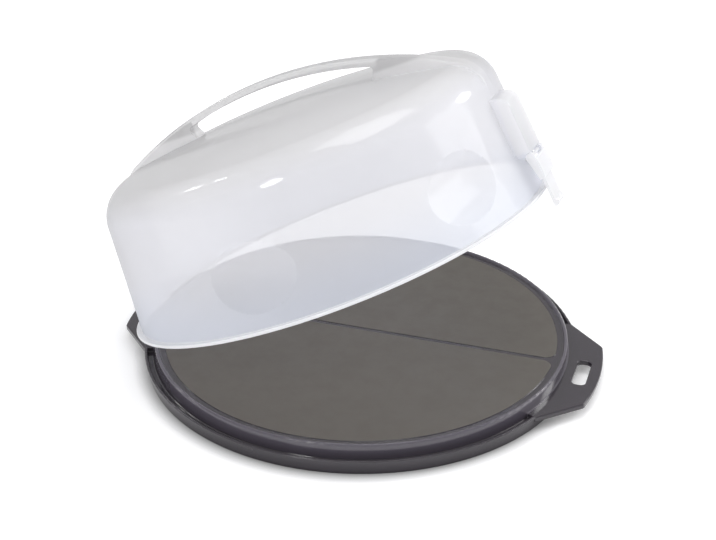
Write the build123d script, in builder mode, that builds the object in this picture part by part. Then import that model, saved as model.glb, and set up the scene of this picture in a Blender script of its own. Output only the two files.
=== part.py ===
from build123d import *
import math
import os

# Cake carrier: a round tray with an ear at each end, a domed hood that hinges on
# one ear, and a clip that locks it to the other.
# Millimetres, +Z up. The origin is the centre of the tray on the surface it
# stands on. +X is the latch side and -X the hinge side.

os.makedirs("parts", exist_ok=True)

# --- Tray ------------------------------------------------------------------
tray_wall = 2.2             # moulded wall of the tray
lip_r = 166.2               # outside of the lip that the hood stands on
lip_width = 2.4
lip_top = 11.2
lip_draft = 1.9             # the outside draws in this much down to the foot
gutter_depth = 4.2          # gutter inside the lip
gutter_fillet = 1.6
disc_gap = 0.8              # between the serving disc's foot and the hood's wall
disc_draft = 0.4
disc_rise = 7.8             # raised serving disc, above the lip
bead_width = 2.8            # bead round the serving disc
bead_fillet = 1.3
channel_width = 4.8         # sunk ring inside the bead
channel_drop = 2.2
pad_rise = 0.35
pad_split = 3.6             # groove between the two pads, along X
pad_corner = 9.0
tray_rib = 1.6
tray_rib_depth = 3.0
tray_rib_ring_r = 84.0
tray_rib_count = 8

# --- Ears ------------------------------------------------------------------
ear_drop = 0.6              # top of the ears, below the lip
ear_plate = 2.4
ear_skirt = 2.2             # width of the turned-down edge
ear_skirt_drop = 1.2
ear_root_angle = 24.6       # the flanks meet the tray this far round from the ear's middle
ear_half = 41.5             # half the chord of the ear's outer arc
ear_bar = 8.6               # beyond the slot
ear_corner_fillet = 5.0
ear_edge_fillet = 1.0
slot_set = 0.3              # near edge of the slot, beyond the lip
slot_half = 16.8
slot_corner = 4.0
slot_edge = 0.8             # rounding of the slot's upper edge
slot_collar = 2.2
gusset_y = 27.0
gusset_thick = 2.0
gusset_drop = 2.6

# --- Hood ------------------------------------------------------------------
hood_wall = 1.6
seat_gap = 0.2              # between the tray's lip and the closed rim
side_set = 5.2              # wall at the rim, in from the lip's outside
wall_taper = 9.8            # the wall leans in this much up to the dome
corner_h = 102.4            # wall and dome meet here before the shoulder, above the rim
shoulder = 26.5
dome_rise = 14.4
gate_flat = 6.0             # flat at the crown, where the mould's gate is
flange_set = 1.0            # rim's edge, in from the lip's outside
flange_thick = 2.4
flange_fillet = 1.1

# Handle strap over the dome, in line with the two ears
strap_rise = 21.1           # crest above the dome
strap_thick = 5.0           # at the crest
strap_thick_end = 5.8       # at the hand gap's ends
strap_width = 14.0
strap_reach = 2.0           # outer ends, beyond the corner of wall and dome
strap_fall = 38.4           # from the crest down to the outer ends
strap_end_fillet = 28.0
strap_edge_fillet = 1.6
strap_root = 32.4           # the posts run down into the wall this far
grip_half = 79.5            # half the hand gap at its top
grip_lean = 12.5            # its ends lean in this much
grip_corner = 2.6
grip_root = 16.8            # the gap's outline ends this far under the crown
post_wall = 2.0

# Finger dimples in the side wall
dimple_angles = (28.7, 86.2)
dimple_h = 36.3
dimple_half_high = 24.5
dimple_half_wide = 31.0
dimple_depth = 6.0

# Clip brackets, one at each end
bracket_half = 14.25
bracket_out = 11.4          # beyond the wall
bracket_high = 42.6
bracket_round = 9.0
bracket_wall = 1.8
bracket_fillet = 1.2
lug_half = 11.2             # outer faces of the two lugs that carry the clip's pin
lug_thick = 2.6
lug_r = 2.2
lug_rise = 8.0              # the lugs run this far up into the bracket

# --- Clips -----------------------------------------------------------------
pivot_out = 9.2             # clip pivot, beyond the wall
pivot_h = 29.1              # above the rim
pin_r = 1.3
pin_clear = 0.06
side_clear = 0.3
head_r = 3.4                # rounded head of the clip's side walls
head_gap = 0.4              # between the head and the bracket above it
head_notch = 1.7            # front plate starts this far under the pivot
clip_half = 14.0
clip_drop = 16.6            # finger pad, from the pivot down to its step
clip_belly = 3.9            # thickness of the finger pad
clip_plate = 2.2
clip_skin = 1.4
tongue_out = 11.4           # outer face of the tongue beyond the hood wall
latch_tongue_half = 10.0
hinge_tongue_half = 4.5
nib = 2.4
nib_gap = 0.6               # between the hooked nib and the ear's lower edge
nib_high = 4.2

# --- Hinge of the hood ----------------------------------------------------
hinge_skew = 11.8           # the loose hook stands this far askew in its slot
hook_lean = 4.1             # a clip leans out this far to hook its nib under the bar
hook_gap = 1.4              # between the hooked tongue and the bar
hood_open = 24.43           # how far the hood stands open

# --- Derived sizes ---------------------------------------------------------
lip_in = lip_r - lip_width
foot_r = lip_r - lip_draft
gutter_floor = lip_top - gutter_depth
side_r = lip_r - side_set
disc_foot_r = side_r - hood_wall - disc_gap
disc_r = disc_foot_r - disc_draft
disc_top = lip_top + disc_rise
bead_in = disc_r - bead_width
channel_floor = disc_top - channel_drop
pad_r = bead_in - channel_width
gutter_under = gutter_floor - tray_wall
wall_in = lip_r - lip_draft * (1 - gutter_under / lip_top) - tray_wall
channel_under = channel_floor - tray_wall
ear_top = lip_top - ear_drop
ear_under = ear_top - ear_plate
ear_low = ear_under - ear_skirt_drop
ear_root_x = lip_r * math.cos(math.radians(ear_root_angle))
ear_root_y = lip_r * math.sin(math.radians(ear_root_angle))
rim_z = lip_top + seat_gap  # underside of the rim, closed
flange_r = lip_r - flange_set
corner_r = side_r - wall_taper
dome_h = corner_h + dome_rise
wall_slope = wall_taper / corner_h
wall_lean = math.atan(wall_slope)
dome_radius = (corner_r**2 + dome_rise**2) / (2 * dome_rise)
dome_centre = dome_h - dome_radius
strap_top = dome_h + strap_rise
strap_half = corner_r + strap_reach
strap_arc = (strap_half**2 + strap_fall**2) / (2 * strap_fall)
grip_fall = strap_arc - math.sqrt(strap_arc**2 - grip_half**2) + strap_thick_end - strap_thick
strap_under_arc = (grip_half**2 + grip_fall**2) / (2 * grip_fall)
arch_centre = strap_top - strap_arc
under_centre = strap_top - strap_thick - strap_under_arc
dimple_r_high = (dimple_half_high**2 + dimple_depth**2) / (2 * dimple_depth)
pivot_r = side_r - wall_slope * pivot_h + pivot_out
bracket_bottom = pivot_h + head_r + head_gap
bracket_top = bracket_bottom + bracket_high
bracket_in = corner_r - shoulder
clip_step = pivot_h - clip_drop
hook_turn = math.radians(hook_lean)
hooked_top = ear_low - nib_gap - rim_z
hook_arm = pivot_h - hooked_top
hook_face = tongue_out - pivot_out + wall_slope * hook_arm
hook_out = pivot_r + hook_face * math.cos(hook_turn) + hook_arm * math.sin(hook_turn)
hook_lift = (hook_face + nib) * math.sin(hook_turn) + hook_arm * (1 - math.cos(hook_turn))
nib_top = hooked_top - hook_lift
clip_end = nib_top - nib_high
slot_in = lip_r + slot_set
slot_out = hook_out + hook_gap
slot_width = slot_out - slot_in
slot_middle = (slot_in + slot_out) / 2
ear_r = slot_out + ear_bar
ear_corner_x = math.sqrt(ear_r**2 - ear_half**2)
hinge_out = slot_out        # the hook turns on the lower edge of the ear's bar
hinge_z = ear_low


def wall_radius(height):
    """Outside of the hood's wall at a height above the rim."""
    return side_r - wall_slope * height


def arc_height(centre, radius, x):
    """Height of a circular arc about the hood's axis at the distance x."""
    return centre + math.sqrt(radius**2 - x**2)


# The dimple's roll across the wall: the wall itself falls away by part of the depth
dimple_fall = dimple_half_wide**2 / (2 * wall_radius(dimple_h))
dimple_r_wide = dimple_half_wide**2 / (2 * (dimple_depth - dimple_fall))

rim = Plane.XY.offset(rim_z)
hood_side = Plane(origin=(0, 0, rim_z), x_dir=(1, 0, 0), z_dir=(0, -1, 0))

# ---------------------------------------------------------------------------
# Tray: one moulding, open underneath
# ---------------------------------------------------------------------------
with BuildPart() as tray:
    with BuildSketch(Plane.XZ) as tray_section:
        with BuildLine():
            skin = FilletPolyline(
                (0, channel_floor),
                (bead_in, channel_floor),
                (bead_in, disc_top),
                (disc_r, disc_top),
                (disc_foot_r, gutter_floor),
                (lip_in, gutter_floor),
                (lip_in, lip_top),
                (lip_r, lip_top),
                (foot_r, 0),
                (foot_r - tray_wall, 0),
                (wall_in, gutter_under),
                (disc_foot_r - tray_wall, gutter_under),
                (disc_r - tray_wall, channel_under),
                (0, channel_under),
                radius=[
                    bead_fillet, bead_fillet, bead_fillet, gutter_fillet,
                    tray_wall / 4, tray_wall / 3, tray_wall / 3, tray_wall / 4,
                    tray_wall / 4, tray_wall / 2, tray_wall / 2, tray_wall / 2,
                ],
            )
            Line(skin @ 1, skin @ 0)
        make_face()
    revolve(axis=Axis.Z)

    # Serving pads: two half discs with rounded corners
    with BuildSketch(Plane.XY.offset(channel_floor)) as pads:
        Circle(pad_r)
        Rectangle(2 * pad_r, pad_split, mode=Mode.SUBTRACT)
        fillet(pads.vertices(), pad_corner)
    extrude(amount=pad_rise)

    # The lip stops at each ear
    gap_x = 2 * ear_root_x
    gap_y = 2 * ear_root_y
    for side in (-1, 1):
        with BuildSketch(Plane.XY.offset(ear_top)):
            with BuildLine():
                Polyline((0, 0), (side * gap_x, gap_y), (side * gap_x, -gap_y), close=True)
            make_face()
            Circle(lip_in - tray_wall / 2, mode=Mode.SUBTRACT)
        extrude(amount=lip_top, mode=Mode.SUBTRACT)

def ear_plan():
    """Outline of an ear with straight flanks, drawn on to the tray's middle."""
    root = (ear_root_x, ear_root_y)
    with BuildSketch() as plan:
        with BuildLine():
            outer = ThreePointArc((ear_corner_x, -ear_half), (ear_r, 0), (ear_corner_x, ear_half))
            Polyline(outer @ 1, root, (0, 0), (root[0], -root[1]), outer @ 0)
        make_face()
        fillet(plan.vertices().sort_by(Axis.X)[-2:], ear_corner_fillet)
    return plan.sketch


ear_outline = ear_plan()

with BuildPart() as ears:
    # Ear plate with a rounded outer edge. Inside the lip it fills the gutter up
    # to the serving disc.
    with BuildSketch(Plane.XY.offset(ear_low)):
        add(ear_outline)
        Circle(disc_foot_r - tray_wall / 2, mode=Mode.SUBTRACT)
    extrude(amount=ear_plate + ear_skirt_drop)
    fillet(ears.faces().sort_by(Axis.Z)[-1].edges().sort_by(Axis.X)[-1], ear_edge_fillet)

    # Hollow underneath, inside the turned-down edge and outside a collar round the slot
    with BuildSketch(Plane.XY.offset(ear_low)):
        add(ear_outline)
        offset(amount=-ear_skirt, kind=Kind.INTERSECTION)
        Circle(lip_r, mode=Mode.SUBTRACT)
        with Locations((slot_middle, 0)):
            RectangleRounded(
                slot_width + 2 * slot_collar,
                2 * (slot_half + slot_collar),
                slot_corner + slot_collar,
                mode=Mode.SUBTRACT,
            )
    extrude(amount=ear_skirt_drop, mode=Mode.SUBTRACT)

    # Slot that the clip reaches through
    with BuildSketch(Plane.XY.offset(ear_low)):
        with Locations((slot_middle, 0)):
            RectangleRounded(slot_width, 2 * slot_half, slot_corner)
    extrude(amount=ear_plate + ear_skirt_drop, mode=Mode.SUBTRACT)
    slot_rim = ears.faces().sort_by(Axis.Z)[-1].inner_wires()[0].edges()
    fillet(slot_rim, slot_edge)

    # Two gussets carry the ear on the foot
    for side in (-1, 1):
        with BuildSketch(Plane.XZ.offset(-side * gusset_y - gusset_thick / 2)) as gusset:
            with BuildLine():
                Polyline(
                    (lip_r - tray_wall, ear_under),
                    (ear_r - ear_skirt - tray_wall, ear_under),
                    (ear_r - ear_skirt - tray_wall, ear_low),
                    (lip_r - tray_wall / 2, ear_under - gusset_drop),
                    (lip_r - tray_wall, ear_under - gusset_drop),
                    close=True,
                )
            make_face()
        extrude(amount=gusset_thick)

with BuildPart() as tray_ribs:
    # Ring and spokes that stiffen the serving disc from below
    with BuildSketch(Plane.XY.offset(channel_under - tray_rib_depth)) as rib_plan:
        Circle(tray_rib_ring_r + tray_rib)
        Circle(tray_rib_ring_r, mode=Mode.SUBTRACT)
        spoke = disc_r - tray_wall - tray_rib_ring_r
        with PolarLocations(
            tray_rib_ring_r + spoke / 2, tray_rib_count, start_angle=180 / tray_rib_count
        ):
            Rectangle(spoke, tray_rib)
    extrude(amount=tray_rib_depth + tray_wall / 2)

with BuildPart() as base_tray:
    add(tray)
    add(ears)
    add(ears.part.mirror(Plane.YZ))
    add(tray_ribs)


# ---------------------------------------------------------------------------
# Hood: walls, dome, handle, dimples and both brackets in one moulding
# ---------------------------------------------------------------------------
def hood_face(inset, floor):
    """Half section of the hood, `inset` inside its outer skin, down to `floor`."""
    start = side_r - inset / math.cos(wall_lean)
    radius = dome_radius - inset
    # where the wall line meets the dome's circle
    slope_sum = 1 + wall_slope**2
    half_b = start * wall_slope + dome_centre
    rest = start**2 + dome_centre**2 - radius**2
    top = (half_b + math.sqrt(half_b**2 - slope_sum * rest)) / slope_sum
    corner = (start - wall_slope * top, top)
    half_way = corner[0] / 2
    with BuildSketch(hood_side) as section:
        with BuildLine():
            Polyline((0, floor), (start - wall_slope * floor, floor), corner)
            crown_z = arc_height(dome_centre, radius, gate_flat)
            dome = ThreePointArc(
                corner,
                (half_way, arc_height(dome_centre, radius, half_way)),
                (gate_flat, crown_z),
            )
            Polyline(dome @ 1, (0, crown_z), (0, floor))
        make_face()
        fillet(section.vertices().sort_by_distance(corner)[0], shoulder - inset)
    return section.sketch


def dimple_roll(inset, angle):
    """Barrel that presses one dimple; `inset` larger for the inside skin."""
    turn = math.radians(angle)
    outward = Vector(math.cos(turn), math.sin(turn), 0)
    along = Vector(-math.sin(turn), math.cos(turn), 0)
    # the roll stands square to the leaning wall
    square = outward * math.cos(wall_lean) + Vector(0, 0, math.sin(wall_lean))
    deepest = outward * wall_radius(dimple_h) + Vector(0, 0, dimple_h + rim_z)
    deepest = deepest - square * dimple_depth
    centre = deepest + square * dimple_r_high
    roll_plane = Plane(origin=centre, x_dir=along, z_dir=along.cross(square))
    reach = dimple_r_high + inset
    bow = dimple_r_wide + inset
    end = 1.5 * dimple_half_wide
    end_reach = reach - bow + math.sqrt(bow**2 - end**2)
    with BuildPart() as roll:
        with BuildSketch(roll_plane):
            with BuildLine():
                bulge = ThreePointArc((-end, -end_reach), (0, -reach), (end, -end_reach))
                Polyline(bulge @ 1, (end, 0), (-end, 0), bulge @ 0)
            make_face()
        revolve(axis=Axis(centre, along))
    return roll.part


def handle_face(inset):
    """Side view of the handle's arch, `inset` inside its outer line."""
    half = strap_half - inset
    radius = strap_arc - inset
    shoulder_z = arc_height(arch_centre, radius, half)
    with BuildSketch(hood_side) as arch:
        with BuildLine():
            crown = ThreePointArc(
                (-half, shoulder_z), (0, strap_top - inset), (half, shoulder_z)
            )
            foot_z = corner_h - strap_root
            Polyline(crown @ 1, (half, foot_z), (-half, foot_z), crown @ 0)
        make_face()
        fillet(arch.vertices().group_by(Axis.Y)[-1], strap_end_fillet - inset)
    return arch.sketch


skin_face = hood_face(0, 0)
room_face = hood_face(hood_wall, -flange_thick)
arch_face = handle_face(0)
post_face = handle_face(post_wall)
dimple_turns = [turn * side for turn in dimple_angles for side in (-1, 1)]
skin_rolls = [dimple_roll(0, turn) for turn in dimple_turns]
room_rolls = [dimple_roll(hood_wall, turn) for turn in dimple_turns]

with BuildPart() as hood_skin:
    revolve(skin_face, axis=Axis.Z)
    add(skin_rolls, mode=Mode.SUBTRACT)

with BuildPart() as handle:
    extrude(arch_face, amount=strap_width / 2, both=True)
    long_edges = handle.edges().filter_by(GeomType.CIRCLE)
    fillet(long_edges, strap_edge_fillet)
    # Hand gap between the strap and the dome
    with BuildSketch(hood_side) as grip:
        with BuildLine():
            edge_z = arc_height(under_centre, strap_under_arc, grip_half)
            crown = ThreePointArc(
                (-grip_half, edge_z), (0, strap_top - strap_thick), (grip_half, edge_z)
            )
            low = grip_half - grip_lean
            floor_z = dome_h - grip_root
            Polyline(crown @ 1, (low, floor_z), (-low, floor_z), crown @ 0)
        make_face()
        fillet(grip.vertices().group_by(Axis.Y)[-1], grip_corner)
    extrude(amount=strap_width, both=True, mode=Mode.SUBTRACT)

with BuildPart() as hood_room:
    # Room inside the hood: the dimples stand into it
    revolve(room_face, axis=Axis.Z)
    add(room_rolls, mode=Mode.SUBTRACT)

with BuildPart() as post_room:
    # The handle's two posts are hollow, open to the room
    extrude(post_face, amount=strap_width / 2 - post_wall, both=True)
    Box(2 * (grip_half + post_wall), strap_width, 4 * strap_top, mode=Mode.SUBTRACT)

with BuildPart() as bracket:
    # Raised block on the wall with a hollow back, open downwards
    front_low = wall_radius(bracket_bottom) + bracket_out
    front_high = wall_radius(bracket_top) + bracket_out
    with BuildSketch(hood_side) as block:
        with BuildLine():
            Polyline(
                (bracket_in, bracket_bottom),
                (front_low, bracket_bottom),
                (front_high, bracket_top),
                (bracket_in, bracket_top),
                close=True,
            )
        make_face()
        fillet(block.vertices().group_by(Axis.Y)[-1].sort_by(Axis.X)[-1], bracket_round)
    extrude(amount=bracket_half, both=True)
    fillet(bracket.faces().filter_by(Axis.Y).edges().filter_by(
        lambda e: e.center().X > bracket_in + bracket_wall
        and e.center().Z > rim_z + bracket_bottom + bracket_wall / 2
        and (e.center().X > corner_r or e.geom_type == GeomType.CIRCLE)
    ), bracket_fillet)
    with BuildSketch(hood_side) as pocket:
        with BuildLine():
            Polyline(
                (bracket_in, bracket_bottom),
                (front_low - bracket_wall, bracket_bottom),
                (front_high - bracket_wall, bracket_top - bracket_wall),
                (bracket_in, bracket_top - bracket_wall),
                close=True,
            )
        make_face()
        fillet(pocket.vertices().group_by(Axis.Y)[-1].sort_by(Axis.X)[-1],
               bracket_round - bracket_wall)
    extrude(amount=bracket_half - bracket_wall, both=True, mode=Mode.SUBTRACT)

    # Lugs that carry the clip's pin, let into the bracket from below
    for side in (-1, 1):
        with BuildSketch(hood_side.offset(side * (lug_half - lug_thick / 2) - lug_thick / 2)):
            with Locations((pivot_r, pivot_h)):
                Circle(lug_r)
            with BuildLine():
                Polyline(
                    (bracket_in, bracket_bottom),
                    (pivot_r - lug_r, pivot_h),
                    (pivot_r + lug_r / 3, pivot_h),
                    (pivot_r + lug_r / 3, bracket_bottom + lug_rise),
                    (bracket_in, bracket_bottom + lug_rise),
                    close=True,
                )
            make_face()
        extrude(amount=lug_thick)
    with BuildSketch(hood_side):
        with Locations((pivot_r, pivot_h)):
            Circle(pin_r + pin_clear)
    extrude(amount=bracket_half, both=True, mode=Mode.SUBTRACT)
    add(hood_skin.part, mode=Mode.SUBTRACT)

with BuildPart() as hood:
    add(hood_skin)
    add(handle)
    add(hood_room.part, mode=Mode.SUBTRACT)
    add(post_room.part, mode=Mode.SUBTRACT)
    # Flat rim that stands on the tray's lip
    with BuildSketch(hood_side) as rim_section:
        with BuildLine():
            Polyline(
                (side_r - hood_wall / 2, 0),
                (flange_r, 0),
                (flange_r, flange_thick),
                (side_r - hood_wall / 2, flange_thick),
                close=True,
            )
        make_face()
        fillet(rim_section.vertices().group_by(Axis.X)[-1], flange_fillet)
    revolve(axis=Axis.Z)
    add(bracket.part)
    add(bracket.part.mirror(Plane.YZ))


# ---------------------------------------------------------------------------
# Clips: side walls on a pin, a finger pad between them, and a tongue with a nib
# ---------------------------------------------------------------------------
def make_clip(tongue_half):
    """Clip in the closed hood's position on the latch side."""
    tongue_high = wall_radius(clip_step) + tongue_out
    tongue_low = wall_radius(clip_end) + tongue_out
    nib_root = wall_radius(nib_top) + tongue_out
    back_high = tongue_high - clip_plate
    back_low = tongue_low - clip_plate
    pad_out = back_high + clip_belly
    head_out = pivot_r + head_r
    belly_h = (pivot_h + clip_step) / 2
    belly_out = (head_out + pad_out) / 2 + clip_plate / 4
    side_in = lug_half + side_clear
    head_back = pivot_r - head_r
    open_top = pivot_h + head_r + clip_plate
    with BuildPart() as clip:
        # Side walls and finger pad, bulging outwards, with a round head at the pivot
        with BuildSketch(hood_side):
            with BuildLine():
                belly = ThreePointArc(
                    (head_out, pivot_h), (belly_out, belly_h), (pad_out, clip_step)
                )
                Polyline(belly @ 1, (back_high, clip_step), (head_back, pivot_h), belly @ 0)
            make_face()
            with Locations((pivot_r, pivot_h)):
                Circle(head_r)
        extrude(amount=clip_half, both=True)
        # Open back, and open top between the side walls
        with BuildSketch(hood_side):
            with BuildLine():
                inner = ThreePointArc(
                    (head_out - clip_skin, pivot_h - head_notch),
                    (belly_out - clip_skin, belly_h),
                    (pad_out - clip_skin, clip_step + clip_skin),
                )
                Polyline(
                    inner @ 1,
                    (head_back - clip_plate, clip_step + clip_skin),
                    (head_back - clip_plate, open_top),
                    (head_out + clip_plate, open_top),
                    (head_out + clip_plate, pivot_h - head_notch),
                    inner @ 0,
                )
            make_face()
        extrude(amount=side_in, both=True, mode=Mode.SUBTRACT)
        # Pin from wall to wall
        with BuildSketch(hood_side):
            with Locations((pivot_r, pivot_h)):
                Circle(pin_r)
        extrude(amount=side_in + clip_plate / 2, both=True)
        # Tongue and nib
        with BuildSketch(hood_side):
            with BuildLine():
                Polyline(
                    (back_high, clip_step + clip_skin),
                    (back_low, clip_end),
                    (tongue_low, clip_end),
                    (nib_root + nib, nib_top - clip_plate / 2),
                    (nib_root + nib, nib_top),
                    (nib_root, nib_top),
                    (tongue_high, clip_step + clip_skin),
                    close=True,
                )
            make_face()
        extrude(amount=tongue_half, both=True)
    return clip.part


latch_solid = make_clip(latch_tongue_half)
hook_solid = make_clip(hinge_tongue_half).mirror(Plane.YZ)
hook_pin = Axis((-pivot_r, 0, rim_z + pivot_h), (0, 1, 0))
hook_solid = hook_solid.rotate(hook_pin, hook_lean)

# ---------------------------------------------------------------------------
# The hood stands open on its hinge, and takes both clips with it
# ---------------------------------------------------------------------------
skew = math.radians(hinge_skew)
hood_hinge = Axis((-hinge_out, 0, hinge_z), (-math.sin(skew), -math.cos(skew), 0))

open_hood = hood.part.rotate(hood_hinge, hood_open)
open_latch = latch_solid.rotate(hood_hinge, hood_open)
open_hook = hook_solid.rotate(hood_hinge, hood_open)

base_tray.part.label = "base_tray"
export_step(base_tray.part, "parts/base_tray.step")
open_hood.label = "hood"
export_step(open_hood, "parts/hood.step")
open_latch.label = "latch_clip"
export_step(open_latch, "parts/latch_clip.step")
open_hook.label = "hinge_clip"
export_step(open_hook, "parts/hinge_clip.step")
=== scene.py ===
import math

import bpy
import bmesh
from mathutils import Matrix, Vector


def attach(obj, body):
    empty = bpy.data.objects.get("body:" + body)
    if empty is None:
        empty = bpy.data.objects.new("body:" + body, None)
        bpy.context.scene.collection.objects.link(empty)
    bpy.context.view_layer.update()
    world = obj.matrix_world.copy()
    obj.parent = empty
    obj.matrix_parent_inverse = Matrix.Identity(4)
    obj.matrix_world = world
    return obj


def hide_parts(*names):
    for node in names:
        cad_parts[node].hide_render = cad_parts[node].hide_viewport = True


bl_info = {
    "name": "Cake carrier with hinged hood",
    "version": (1, 0, 0),
    "blender": (4, 5, 0),
    "location": "View3D > Sidebar > Cake carrier",
    "description": "Dresses and lights the carrier's tray, frosted hood and clips",
    "category": "Object",
}

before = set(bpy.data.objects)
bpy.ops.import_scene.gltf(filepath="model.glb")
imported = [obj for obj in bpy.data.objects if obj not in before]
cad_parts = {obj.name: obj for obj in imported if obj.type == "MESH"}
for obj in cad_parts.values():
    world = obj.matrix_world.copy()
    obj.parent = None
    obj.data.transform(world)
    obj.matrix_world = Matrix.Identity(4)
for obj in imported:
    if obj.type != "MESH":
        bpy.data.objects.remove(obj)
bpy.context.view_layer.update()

BODIES = {
    "base_tray": "base",
    "hood": "hood",
    "hinge_clip": "hood",
    "latch_clip": "latch",
}

# How the moulded faces are shaded
SHARP_ANGLE = math.radians(28)      # edges that turn further than this stay hard
MERGE_GAP = 0.000002                # points of one corner lie closer than this
WEIGHT_BY_AREA = 50                 # large faces set the normals of their corners
TRAY_ROUND = 0.0012                 # the tray's edges catch the light over this width
SHELL_ROUND = 0.0009                # and the finer edges of hood and clips over this
ROUND_SAMPLES = 6

# The hood stands open: turned back by this about its hinge on the ear, it is closed
HOOD_HINGE = Vector((-0.1767026, 0.0, 0.0070))
HOOD_AXIS = Vector((-0.204496, -0.978867, 0.0))
HOOD_OPEN = math.radians(24.43)
RIM_HEIGHT = 0.0114                 # underside of the closed hood's rim

# Regions of the tray, each with its fade from one measure to the next, in metres
PAD_RIM = (0.1498, 0.1506)          # radius where the serving pads end
PAD_GROOVE = (0.0018, 0.0024)       # half the groove between the two pads
PAD_TOP = (0.0170, 0.0171)          # the pads' faces lie just above this height
# the disc's side gets a paler colour there, a painted reflection:
DISC_SIDE = (0.1545, 0.1560)        # the disc's side lies outside this radius,
LIP_SIDE = (0.1594, 0.1598)         # inside this one
GUTTER_FLOOR = (0.0076, 0.0086)     # and above this height
GROOVE_SHARE = 0.45                 # how much of the pads' finish the groove has

# Regions of the hood, as heights over its rim, and the brackets' reach from its middle
WALL_FADE = (0.0, 0.055)            # the wall is bluest at the rim and fades up to here
CROWN = (0.086, 0.106)              # the dome's darker, neutral tint, a painted shade, comes in here
STRAP = (0.1165, 0.1195)            # the strap starts to stand over the dome
BRACKET_REACH = (0.1575, 0.1590)    # only the brackets stand out this far
BRACKET_FOOT = (0.030, 0.036)       # and this high
RIM_FADE = (0.8, 1.1)               # the rim band ends at these shares of its height

# Tints: what a colour is multiplied by
DEEP_TINT = (0.86, 0.86, 0.86)      # darker flow lines in the tray
LOW_WALL_TINT = (0.93, 0.96, 1.01)  # bluer wall at the rim
STRAP_PAINTED_SHADE = (0.775, 0.775, 0.775)  # painted shade on the strap, darker than the crown
FLOOR_TINT = (0.995, 0.995, 0.995)  # darker patches of the floor

# Colours that don't change with the settings
WHITE = (1.0, 1.0, 1.0)
BLACK = (0.0, 0.0, 0.0)
BRACKET_COLOUR = (0.97, 0.97, 0.98)
RIM_COLOUR = (0.95, 0.95, 0.96)
CLOUD_COLOUR = (0.6, 0.61, 0.66)
THICK_COLOUR = (0.02, 0.02, 0.03)   # light left after a long way through the wall

# Patterns: scale, detail and roughness of each
FLOW = (14.0, 4.0, 0.55)            # slow flow of the tray's colour
WEAR = (55.0, 5.0, 0.65)            # uneven polish of the tray
CLOUDS = (9.0, 3.0, 0.5)            # faint clouds in the hood
FROST = (700.0, 2.0, 0.6)           # fine ripple of the frosted skin
HANDLING = (22.0, 4.0, 0.55)        # uneven polish of the frosted skin
FLOOR_TONE = (3.0, 3.0, 0.5)
GRAIN_DETAIL = (2.0, 0.6)           # detail and roughness; its scale is a setting

# The part of a pattern's range over which it acts
EVEN_SPAN = (0.3, 0.7)
WIDE_SPAN = (0.3, 0.75)
HIGH_SPAN = (0.35, 0.75)

# How far a roughness goes under and over its setting
POLISH_SPREAD = (-0.03, 0.05)
PAD_SPREAD = (-0.06, 0.08)
SKIN_SPREAD = (-0.02, 0.03)

# Strength and height of the raised patterns
GRAIN_BUMP = (0.05, 0.0001)
FROST_BUMP = (0.03, 0.0001)

# Plastics
PLASTIC_IOR = 1.49
TRAY_SPECULAR = 0.7
RIM_COVER = 0.95                    # how much the whiter rim band hides
CLOUD_SHARE = 0.06
MILK_THROUGH = 0.5                  # the share of the scattered light that goes through
FACING_BLEND = 0.5                  # plain fall-off with the angle to the eye
TURNED_AWAY = (0.25, 0.95)          # the cover rises here, from 0 head on to 1 edge on
THICK_POWER = 4.5                   # how late the wall darkens towards edge on
GLANCE_POWER = 5.0                  # and how late it starts to mirror
GLANCE_SHARE = 0.35                 # what the skin mirrors edge on, beside
HEAD_ON_SHARE = 0.04                # what it mirrors everywhere

# Stage
FLOOR_HALF_SIDE = 6.0
FLOOR_FADE = (1.3, 2.6)             # the floor turns white between these distances
PAINTED_SHADOW_REACH = 0.012               # a painted shadow darkens the floor this close to the tray's foot,
PAINTED_SHADOW_SIDES = (0.035, 0.075)      # but not this near to the line through the ears
PAINTED_SHADOW_SAMPLES = 16
SKY_LIGHT = 0.68                    # the sky's strength as a light
SKY_SEEN = 1.0                      # and as the white behind the carrier
SENSOR_WIDTH = 36.0                 # millimetres
LAMP_TARGET = Vector((0.0, 0.0, 0.08))
LAMPS = (
    # name, place, side of the square in metres, watts
    ("top_softbox", (0.0, 0.15, 1.7), 0.9, 9.0),
    ("key_softbox", (-0.35, -1.40, 1.15), 0.26, 4.5),
    ("side_softbox", (1.45, 0.55, 0.72), 0.9, 5.5),
    ("rear_softbox", (1.10, 1.10, 0.95), 0.36, 5.0),
    ("window_upper", (-1.60, 0.20, 1.42), 0.16, 1.3),
    ("window_lower", (-1.72, 0.20, 1.12), 0.16, 1.6),
)

# A mix node's first input and its output, for numbers and for colours
MIX_SOCKETS = {"FLOAT": (2, 0), "RGBA": (6, 2)}


# ---------------------------------------------------------------------------
# Small helpers for building materials
# ---------------------------------------------------------------------------
def tinted(colour, tint):
    """A colour multiplied by a tint."""
    return tuple(part * share for part, share in zip(colour, tint))


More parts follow.
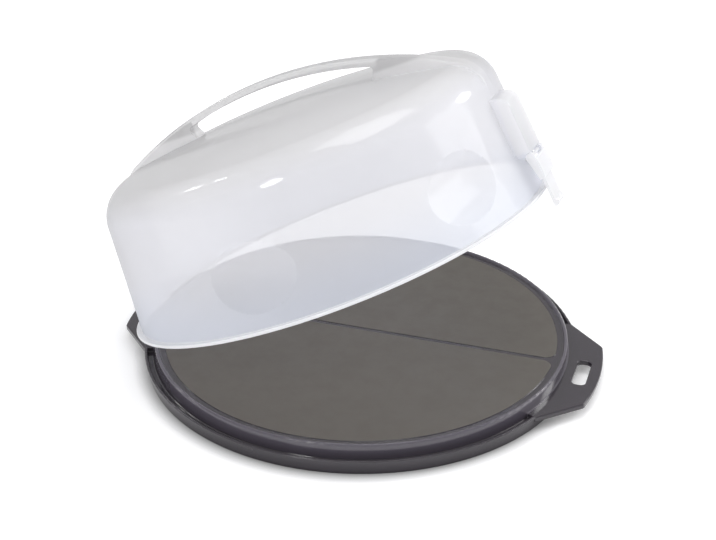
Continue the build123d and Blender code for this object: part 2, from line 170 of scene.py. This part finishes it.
class Nodes:
    """A node tree, with short calls to add and join nodes."""

    def __init__(self, tree, output_kind):
        self.tree = tree
        self.tree.nodes.clear()
        self.surface = self.add(output_kind).inputs["Surface"]

    def add(self, kind, **values):
        node = self.tree.nodes.new(kind)
        for key, value in values.items():
            setattr(node, key, value)
        return node

    def give(self, value, target):
        """Join a socket to the target, or set a plain number or colour on it."""
        if isinstance(value, bpy.types.NodeSocket):
            self.tree.links.new(value, target)
        elif isinstance(value, tuple):
            target.default_value = (*value, 1.0)
        else:
            target.default_value = value

    def shader(self, kind, inputs):
        """A shader with these inputs: its output."""
        node = self.add(kind)
        for name, value in inputs.items():
            self.give(value, node.inputs[name])
        return node.outputs[0]

    def mix_shaders(self, share, first, second):
        node = self.add("ShaderNodeMixShader")
        for value, socket in zip((share, first, second), node.inputs):
            self.give(value, socket)
        return node.outputs[0]

    def math(self, operation, *values):
        node = self.add("ShaderNodeMath", operation=operation)
        for value, socket in zip(values, node.inputs):
            self.give(value, socket)
        return node.outputs[0]

    def product(self, first, *others):
        for other in others:
            first = self.math("MULTIPLY", first, other)
        return first

    def ramp(self, value, low, high, low_out=0.0, high_out=1.0):
        """A smooth step from one output to the other between low and high."""
        node = self.add("ShaderNodeMapRange", clamp=True)
        node.interpolation_type = "SMOOTHSTEP"
        settings = {
            "Value": value,
            "From Min": low,
            "From Max": high,
            "To Min": low_out,
            "To Max": high_out,
        }
        for name, setting in settings.items():
            self.give(setting, node.inputs[name])
        return node.outputs["Result"]

    def fall(self, value, low, high):
        return self.ramp(value, low, high, 1.0, 0.0)

    def blend(self, factor, first, second, kind="RGBA"):
        """From the first colour or number to the second as the factor rises."""
        node = self.add("ShaderNodeMix", data_type=kind)
        start, result = MIX_SOCKETS[kind]
        self.give(factor, node.inputs["Factor"])
        self.give(first, node.inputs[start])
        self.give(second, node.inputs[start + 1])
        return node.outputs[result]

    def noise(self, place, scale, detail, roughness):
        node = self.add("ShaderNodeTexNoise")
        self.give(place, node.inputs["Vector"])
        self.give(scale, node.inputs["Scale"])
        self.give(detail, node.inputs["Detail"])
        self.give(roughness, node.inputs["Roughness"])
        return node.outputs["Fac"]

    def uneven(self, pattern, span, middle, spread):
        """A roughness that follows a pattern, around a middle value."""
        under, over = spread
        return self.ramp(pattern, *span, middle + under, middle + over)

    def soft_edge(self, radius):
        """Normals that round the piece's edges off by this radius."""
        node = self.add("ShaderNodeBevel", samples=ROUND_SAMPLES)
        self.give(radius, node.inputs["Radius"])
        return node.outputs["Normal"]

    def bump(self, height, strength, distance, normal):
        node = self.add("ShaderNodeBump")
        self.give(height, node.inputs["Height"])
        self.give(strength, node.inputs["Strength"])
        self.give(distance, node.inputs["Distance"])
        self.give(normal, node.inputs["Normal"])
        return node.outputs["Normal"]

    def turned_away(self, normal):
        """How far a face is turned away from the eye: 0 head on, 1 edge on."""
        node = self.add("ShaderNodeLayerWeight")
        self.give(FACING_BLEND, node.inputs["Blend"])
        self.give(normal, node.inputs["Normal"])
        return node.outputs["Facing"]

    def seen_by(self, *rays):
        """1 for these kinds of ray and 0 for the others."""
        path = self.add("ShaderNodeLightPath").outputs
        seen = path[rays[0]]
        for ray in rays[1:]:
            seen = self.math("MAXIMUM", seen, path[ray])
        return seen

    def split(self, vector):
        node = self.add("ShaderNodeSeparateXYZ")
        self.give(vector, node.inputs[0])
        return tuple(node.outputs)

    def object_place(self):
        return self.add("ShaderNodeTexCoord").outputs["Object"]

    def closed_place(self):
        """Object coordinates turned back to the closed hood, from its rim's middle."""
        turn = Matrix.Rotation(-HOOD_OPEN, 4, HOOD_AXIS)
        back = Matrix.Translation(HOOD_HINGE) @ turn @ Matrix.Translation(-HOOD_HINGE)
        back = Matrix.Translation((0.0, 0.0, -RIM_HEIGHT)) @ back
        node = self.add("ShaderNodeMapping", vector_type="POINT")
        node.inputs["Location"].default_value = back.to_translation()
        node.inputs["Rotation"].default_value = back.to_euler("XYZ")
        self.give(self.object_place(), node.inputs["Vector"])
        return node.outputs["Vector"]


def new_material(name):
    """A material and its empty node tree."""
    material = bpy.data.materials.new(name)
    material.use_nodes = True
    return material, Nodes(material.node_tree, "ShaderNodeOutputMaterial")


def dress(node_name, material):
    """A copy of a CAD piece with joined corners, smooth shading and its finish."""
    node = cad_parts[node_name]
    mesh = bpy.data.meshes.new(node_name + "_skin")
    shape = bmesh.new()
    shape.from_mesh(node.data)
    bmesh.ops.remove_doubles(shape, verts=shape.verts, dist=MERGE_GAP)
    for face in shape.faces:
        face.smooth = True
    for edge in shape.edges:
        closed = len(edge.link_faces) == 2
        edge.smooth = closed and edge.calc_face_angle() < SHARP_ANGLE
    shape.to_mesh(mesh)
    shape.free()
    mesh.materials.append(material)
    skin = bpy.data.objects.new(node_name + "_skin", mesh)
    bpy.context.scene.collection.objects.link(skin)
    weigh = skin.modifiers.new("even_shading", "WEIGHTED_NORMAL")
    weigh.keep_sharp = True
    weigh.weight = WEIGHT_BY_AREA
    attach(skin, BODIES[node_name])
    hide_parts(node_name)


# ---------------------------------------------------------------------------
# Settings a user may change
# ---------------------------------------------------------------------------
class TraySettings(bpy.types.PropertyGroup):
    colour: bpy.props.FloatVectorProperty(
        name="Colour", description="Anthracite of the moulded tray",
        default=(0.035, 0.029, 0.038), size=3, subtype="COLOR", min=0.0, max=1.0,
    )
    # the grained pads' own grey, with a painted warm reflection in its tint
    pad_colour_and_warm_reflection: bpy.props.FloatVectorProperty(
        name="Pad colour", description="Warmer grey of the grained serving pads",
        default=(0.082, 0.072, 0.060), size=3, subtype="COLOR", min=0.0, max=1.0,
    )
    # painted reflection: a paler grey put on the disc's side where the glossy wall
    # would reflect light
    painted_side_reflection: bpy.props.FloatVectorProperty(
        name="Side colour", description="Paler grey of the disc's polished side",
        default=(0.090, 0.080, 0.101), size=3, subtype="COLOR", min=0.0, max=1.0,
    )
    roughness: bpy.props.FloatProperty(
        name="Roughness", description="Roughness of the polished faces",
        default=0.11, min=0.0, max=1.0, subtype="FACTOR",
    )
    pad_roughness: bpy.props.FloatProperty(
        name="Pad roughness", description="Roughness of the two serving pads",
        default=0.40, min=0.0, max=1.0, subtype="FACTOR",
    )
    grain: bpy.props.FloatProperty(
        name="Grain", description="Size of the moulded grain",
        default=0.0007, min=0.0001, max=0.01, unit="LENGTH",
    )


class HoodSettings(bpy.types.PropertyGroup):
    colour: bpy.props.FloatVectorProperty(
        name="Wall colour", description="Milky lavender tint of the frosted wall",
        default=(0.955, 0.955, 0.985), size=3, subtype="COLOR", min=0.0, max=1.0,
    )
    # painted shade: the dome's top and the strap get a darker, more neutral tint than
    # the wall
    painted_crown_shade: bpy.props.FloatVectorProperty(
        name="Crown colour", description="Neutral milky tint of the dome and the strap",
        default=(0.87, 0.865, 0.87), size=3, subtype="COLOR", min=0.0, max=1.0,
    )
    cover: bpy.props.FloatProperty(
        name="Cover", description="How much one face of the wall hides",
        default=0.55, min=0.0, max=1.0, subtype="FACTOR",
    )
    edge_cover: bpy.props.FloatProperty(
        name="Edge cover", description="How much the wall hides seen edge on",
        default=0.60, min=0.0, max=1.0, subtype="FACTOR",
    )
    roughness: bpy.props.FloatProperty(
        name="Roughness", description="Roughness of the outer skin",
        default=0.09, min=0.0, max=1.0, subtype="FACTOR",
    )
    rim_band: bpy.props.FloatProperty(
        name="Rim band", description="Height of the whiter band at the rim",
        default=0.0026, min=0.0, max=0.02, unit="LENGTH",
    )


class ClipSettings(bpy.types.PropertyGroup):
    colour: bpy.props.FloatVectorProperty(
        name="Colour", description="Milky white of the two clips",
        default=(0.95, 0.95, 0.96), size=3, subtype="COLOR", min=0.0, max=1.0,
    )
    cover: bpy.props.FloatProperty(
        name="Cover", description="How much one face of a clip hides",
        default=0.95, min=0.0, max=1.0, subtype="FACTOR",
    )
    roughness: bpy.props.FloatProperty(
        name="Roughness", description="Roughness of the clips' skin",
        default=0.20, min=0.0, max=1.0, subtype="FACTOR",
    )


class StageSettings(bpy.types.PropertyGroup):
    floor: bpy.props.FloatVectorProperty(
        name="Floor", description="Colour of the floor",
        default=(0.92, 0.92, 0.93), size=3, subtype="COLOR", min=0.0, max=1.0,
    )
    lift: bpy.props.FloatProperty(
        name="Lift", description="How much the floor near the carrier glows by itself",
        default=0.22, min=0.0, max=1.0, subtype="FACTOR",
    )
    lens: bpy.props.FloatProperty(
        name="Lens", description="Focal length of the camera in millimetres",
        default=67.72, min=10.0, max=300.0,
    )
    camera_place: bpy.props.FloatVectorProperty(
        name="Camera", description="Where the camera stands",
        default=(0.2779, -0.8547, 0.5429), size=3, unit="LENGTH",
    )
    camera_tilt: bpy.props.FloatProperty(
        name="Tilt", description="Camera's tilt up from straight down",
        default=math.radians(62.15), unit="ROTATION",
    )
    camera_turn: bpy.props.FloatProperty(
        name="Turn", description="Camera's turn about the vertical",
        default=math.radians(18.16), unit="ROTATION",
    )


# ---------------------------------------------------------------------------
# Finishes
# ---------------------------------------------------------------------------
def anthracite_plastic(settings):
    """Dark moulded plastic: polished rim and ears, grained serving pads."""
    material, m = new_material("anthracite_plastic")
    place = m.object_place()
    x, y, z = m.split(place)
    radius = m.math("SQRT", m.math("ADD", m.product(x, x), m.product(y, y)))
    pads = m.product(
        m.fall(radius, *PAD_RIM),
        m.ramp(m.math("ABSOLUTE", y), *PAD_GROOVE, GROOVE_SHARE),
        m.ramp(z, *PAD_TOP),
    )
    # painted reflection: the mask of the disc's side, which gets the paler colour below
    side = m.product(
        m.ramp(radius, *DISC_SIDE),
        m.fall(radius, *LIP_SIDE),
        m.ramp(z, *GUTTER_FLOOR),
    )

    # slow flow of the colour, then the pads' grey with its painted warm reflection, and
    # a paler grey on the disc's side as a painted reflection
    dark = settings.colour[:]
    flow = m.noise(place, *FLOW)
    colour = m.blend(m.ramp(flow, *EVEN_SPAN), tinted(dark, DEEP_TINT), dark)
    # the pads' colour, partly a painted warm reflection
    colour = m.blend(pads, colour, settings.pad_colour_and_warm_reflection[:])
    colour = m.blend(side, colour, settings.painted_side_reflection[:])

    # uneven polish, and a fine moulded grain
    wear = m.noise(place, *WEAR)
    polished = m.uneven(wear, HIGH_SPAN, settings.roughness, POLISH_SPREAD)
    grained = m.uneven(wear, EVEN_SPAN, settings.pad_roughness, PAD_SPREAD)
    grain = m.noise(place, 1.0 / settings.grain, *GRAIN_DETAIL)

    plastic = m.shader("ShaderNodeBsdfPrincipled", {
        "IOR": PLASTIC_IOR,
        "Specular IOR Level": TRAY_SPECULAR,
        "Base Color": colour,
        "Roughness": m.blend(pads, polished, grained, "FLOAT"),
        "Normal": m.bump(grain, *GRAIN_BUMP, m.soft_edge(TRAY_ROUND)),
    })
    m.give(plastic, m.surface)
    return material


def frost(m, place, normal, away, tint, cover, roughness):
    """Milky plastic that lets light and sight through, under a smooth skin.

    The tint and the cover are plain values or sockets.
    """
    milk = m.mix_shaders(
        MILK_THROUGH,
        m.shader("ShaderNodeBsdfDiffuse", {"Color": tint}),
        m.shader("ShaderNodeBsdfTranslucent", {"Color": tint}),
    )
    # seen edge on, light goes a long way through the wall and less comes out
    thick = m.math("POWER", away, THICK_POWER)
    clear = m.shader("ShaderNodeBsdfTransparent", {
        "Color": m.blend(thick, WHITE, THICK_COLOUR),
    })
    body = m.mix_shaders(cover, clear, milk)

    # the skin mirrors little head on and much at a glance, and only on the outside
    ripple = m.noise(place, *FROST)
    handling = m.noise(place, *HANDLING)
    skin = m.shader("ShaderNodeBsdfGlossy", {
        "Roughness": m.uneven(handling, WIDE_SPAN, roughness, SKIN_SPREAD),
        "Normal": m.bump(ripple, *FROST_BUMP, normal),
    })
    glance = m.product(m.math("POWER", away, GLANCE_POWER), GLANCE_SHARE)
    inside = m.add("ShaderNodeNewGeometry").outputs["Backfacing"]
    mirror = m.product(
        m.math("ADD", glance, HEAD_ON_SHARE),
        m.math("SUBTRACT", 1.0, inside),
    )
    m.give(m.mix_shaders(mirror, body, skin), m.surface)


def frosted_hood(settings):
    """Frosted plastic: bluish wall, dome and strap in a darker neutral tint that is
    painted shade, whiter brackets and rim.
    """
    material, m = new_material("frosted_hood")
    place = m.closed_place()
    along, _, height = m.split(place)
    rounded = m.soft_edge(SHELL_ROUND)
    away = m.turned_away(rounded)
    rim = m.fall(height, *(settings.rim_band * share for share in RIM_FADE))

    wall = settings.colour[:]
    shaded_crown = settings.painted_crown_shade[:]
    brackets = m.product(
        m.ramp(m.math("ABSOLUTE", along), *BRACKET_REACH),
        m.ramp(height, *BRACKET_FOOT),
    )
    clouds = m.product(m.ramp(m.noise(place, *CLOUDS), *WIDE_SPAN), CLOUD_SHARE)
    tint = m.blend(m.ramp(height, *WALL_FADE), tinted(wall, LOW_WALL_TINT), wall)
    # painted shade: the dome's top, and the strap more so, take a darker neutral tint
    tint = m.blend(m.ramp(height, *CROWN), tint, shaded_crown)
    tint = m.blend(m.ramp(height, *STRAP), tint, tinted(shaded_crown, STRAP_PAINTED_SHADE))
    tint = m.blend(brackets, tint, BRACKET_COLOUR)
    tint = m.blend(clouds, tint, CLOUD_COLOUR)
    tint = m.blend(rim, tint, RIM_COLOUR)

    cover = m.math(
        "MAXIMUM",
        m.ramp(away, *TURNED_AWAY, settings.cover, settings.edge_cover),
        m.product(rim, RIM_COVER),
    )
    frost(m, place, rounded, away, tint, cover, settings.roughness)
    return material


def milky_clip(settings):
    """The same plastic as the hood's, thicker and whiter, in one colour."""
    material, m = new_material("milky_clip")
    rounded = m.soft_edge(SHELL_ROUND)
    frost(
        m, m.closed_place(), rounded, m.turned_away(rounded),
        settings.colour[:], settings.cover, settings.roughness,
    )
    return material


def floor_white(settings):
    """A pale floor that reads as white to the camera, keeps the lamps' shadows and has
    a painted shadow by the tray's foot.
    """
    material, m = new_material("floor_white")
    place = m.object_place()
    pale = settings.floor[:]
    tone = m.noise(place, *FLOOR_TONE)
    shade = m.blend(m.ramp(tone, *EVEN_SPAN), tinted(pale, FLOOR_TINT), pale)

    # a painted shadow: a soft dark line where the tray's foot stands, but not in the
    # gaps under the ears
    painted_shadow = m.add("ShaderNodeAmbientOcclusion", samples=PAINTED_SHADOW_SAMPLES)
    m.give(PAINTED_SHADOW_REACH, painted_shadow.inputs["Distance"])
    _, across, _ = m.split(place)
    sides = m.ramp(m.math("ABSOLUTE", across), *PAINTED_SHADOW_SIDES)
    painted_shadow_depth = m.product(m.math("SUBTRACT", 1.0, painted_shadow.outputs["AO"]), sides)
    outside_painted_shadow = m.math("SUBTRACT", 1.0, painted_shadow_depth)
    shade = m.blend(outside_painted_shadow, BLACK, shade)

    # far from the carrier the floor only glows in plain white, so it has no horizon
    distance = m.add("ShaderNodeVectorMath", operation="LENGTH")
    m.give(place, distance.inputs[0])
    far = m.ramp(distance.outputs["Value"], *FLOOR_FADE)
    shade = m.blend(far, shade, BLACK)
    strength = m.math(
        "ADD",
        m.product(outside_painted_shadow, settings.lift),
        m.product(far, 1.0 - settings.lift),
    )
    seen = m.seen_by("Is Camera Ray", "Is Glossy Ray", "Is Transmission Ray")

    both = m.add("ShaderNodeAddShader")
    m.give(m.shader("ShaderNodeBsdfDiffuse", {"Color": shade}), both.inputs[0])
    m.give(
        m.shader("ShaderNodeEmission", {
            "Color": WHITE,
            "Strength": m.product(seen, strength),
        }),
        both.inputs[1],
    )
    m.give(both.outputs[0], m.surface)
    return material


# ---------------------------------------------------------------------------
# Stage
# ---------------------------------------------------------------------------
def add_floor(scene, settings):
    """A wide floor that isn't part of the carrier."""
    mesh = bpy.data.meshes.new("floor")
    shape = bmesh.new()
    bmesh.ops.create_grid(shape, x_segments=1, y_segments=1, size=FLOOR_HALF_SIDE)
    shape.to_mesh(mesh)
    shape.free()
    mesh.materials.append(floor_white(settings))
    floor = bpy.data.objects.new("floor", mesh)
    scene.collection.objects.link(floor)


def soft_sky():
    """A white sky that is weaker as a light than as a background."""
    world = bpy.data.worlds.new("soft_sky")
    world.use_nodes = True
    m = Nodes(world.node_tree, "ShaderNodeOutputWorld")
    seen = m.seen_by("Is Camera Ray", "Is Transmission Ray")
    sky = m.shader("ShaderNodeBackground", {
        "Color": WHITE,
        "Strength": m.ramp(seen, 0.0, 1.0, SKY_LIGHT, SKY_SEEN),
    })
    m.give(sky, m.surface)
    return world


def add_lamp(scene, name, place, side, power):
    """A square lamp that shines at the carrier."""
    lamp = bpy.data.lights.new(name, "AREA")
    lamp.energy = power
    lamp.size = side
    holder = bpy.data.objects.new(name, lamp)
    holder.location = place
    aim = LAMP_TARGET - Vector(place)
    holder.rotation_euler = aim.to_track_quat("-Z", "Y").to_euler()
    scene.collection.objects.link(holder)


def add_camera(scene, settings):
    """The camera that looks down at the open hood."""
    lens = bpy.data.cameras.new("camera")
    lens.lens = settings.lens
    lens.sensor_width = SENSOR_WIDTH
    camera = bpy.data.objects.new("camera", lens)
    camera.location = settings.camera_place
    camera.rotation_euler = (settings.camera_tilt, 0.0, settings.camera_turn)
    scene.collection.objects.link(camera)
    scene.camera = camera


# ---------------------------------------------------------------------------
# Operators
# ---------------------------------------------------------------------------
class CARRIER_OT_tray(bpy.types.Operator):
    """Finish the tray in anthracite plastic"""

    bl_idname = "carrier.tray"
    bl_label = "Tray"

    def execute(self, context):
        dress("base_tray", anthracite_plastic(context.scene.carrier_tray))
        return {"FINISHED"}


class CARRIER_OT_hood(bpy.types.Operator):
    """Finish the hood in frosted plastic"""

    bl_idname = "carrier.hood"
    bl_label = "Hood"

    def execute(self, context):
        dress("hood", frosted_hood(context.scene.carrier_hood))
        return {"FINISHED"}


class CARRIER_OT_clips(bpy.types.Operator):
    """Finish both clips in milky plastic"""

    bl_idname = "carrier.clips"
    bl_label = "Clips"

    def execute(self, context):
        finish = milky_clip(context.scene.carrier_clips)
        for node_name in ("latch_clip", "hinge_clip"):
            dress(node_name, finish)
        return {"FINISHED"}


class CARRIER_OT_stage(bpy.types.Operator):
    """Make the floor, sky, lamps and camera"""

    bl_idname = "carrier.stage"
    bl_label = "Stage"

    def execute(self, context):
        scene = context.scene
        add_floor(scene, scene.carrier_stage)
        scene.world = soft_sky()
        for lamp in LAMPS:
            add_lamp(scene, *lamp)
        add_camera(scene, scene.carrier_stage)
        scene.view_settings.view_transform = "Standard"
        return {"FINISHED"}


# Each section of the panel: the scene's property, its settings and its operator
SECTIONS = (
    ("carrier_tray", TraySettings, CARRIER_OT_tray),
    ("carrier_hood", HoodSettings, CARRIER_OT_hood),
    ("carrier_clips", ClipSettings, CARRIER_OT_clips),
    ("carrier_stage", StageSettings, CARRIER_OT_stage),
)


class CARRIER_PT_panel(bpy.types.Panel):
    bl_idname = "CARRIER_PT_panel"
    bl_label = "Cake carrier"
    bl_space_type = "VIEW_3D"
    bl_region_type = "UI"
    bl_category = "Cake carrier"

    def draw(self, context):
        for key, group, operator in SECTIONS:
            column = self.layout.column(align=True)
            for name in group.__annotations__:
                column.prop(getattr(context.scene, key), name)
            column.operator(operator.bl_idname)


GROUPS = {key: group for key, group, _ in SECTIONS}
OPERATORS = tuple(operator for _, _, operator in SECTIONS)
CLASSES = (*GROUPS.values(), *OPERATORS, CARRIER_PT_panel)


def register():
    for cls in CLASSES:
        bpy.utils.register_class(cls)
    for key, group in GROUPS.items():
        setattr(bpy.types.Scene, key, bpy.props.PointerProperty(type=group))


def unregister():
    for key in GROUPS:
        delattr(bpy.types.Scene, key)
    for cls in reversed(CLASSES):
        bpy.utils.unregister_class(cls)


def main():
    """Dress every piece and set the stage."""
    register()
    bpy.ops.carrier.tray()
    bpy.ops.carrier.hood()
    bpy.ops.carrier.clips()
    bpy.ops.carrier.stage()


if __name__ == "__main__":
    main()
